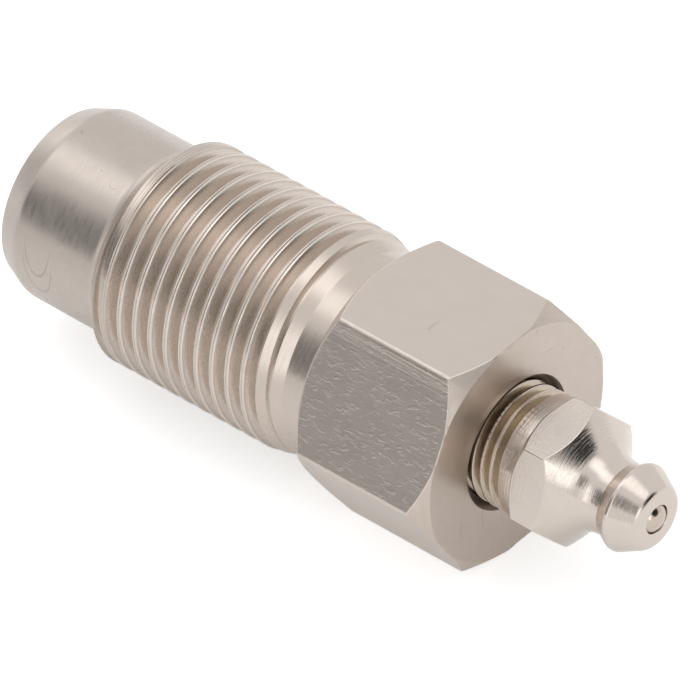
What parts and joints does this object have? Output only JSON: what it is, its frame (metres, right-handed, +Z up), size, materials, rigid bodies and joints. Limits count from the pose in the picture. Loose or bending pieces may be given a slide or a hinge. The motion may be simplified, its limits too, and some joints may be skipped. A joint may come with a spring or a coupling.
{
  "type": "grease valve with a grease nipple",
  "caption": "Threaded grease valve body with a spanner hex and a screwed-in grease nipple that has a sprung check ball.",
  "frame": {"origin": "centre of the bounding box's bottom, under the middle of the part as it lies on a flat of the large hex", "axes": "+X along the part's own axis, from the plain nose towards the nipple's head; +Z up, square to the large hex's top flat; +Y completes the right-handed frame"},
  "size_m": [0.0578, 0.0216, 0.0189],
  "materials": {
    "plated_body": "turned steel with a satin nickel plating",
    "plated_nipple": "turned steel with a bright nickel plating",
    "steel_ball": "polished ball-bearing steel",
    "spring_wire": "drawn spring steel"
  },
  "bodies": {
    "body": {"valve_body": "plated_body", "nipple_body": "plated_nipple", "ball_spring": "spring_wire"},
    "ball": {"check_ball": "steel_ball"}
  },
  "joints": [
    {"name": "ball_press", "type": "slide", "parent": "body", "child": "ball", "axis": [-1, 0, 0], "range_m": [0, 0.0009], "stiffness_N_per_m": 300, "deforming": ["ball_spring"]}
  ]
}
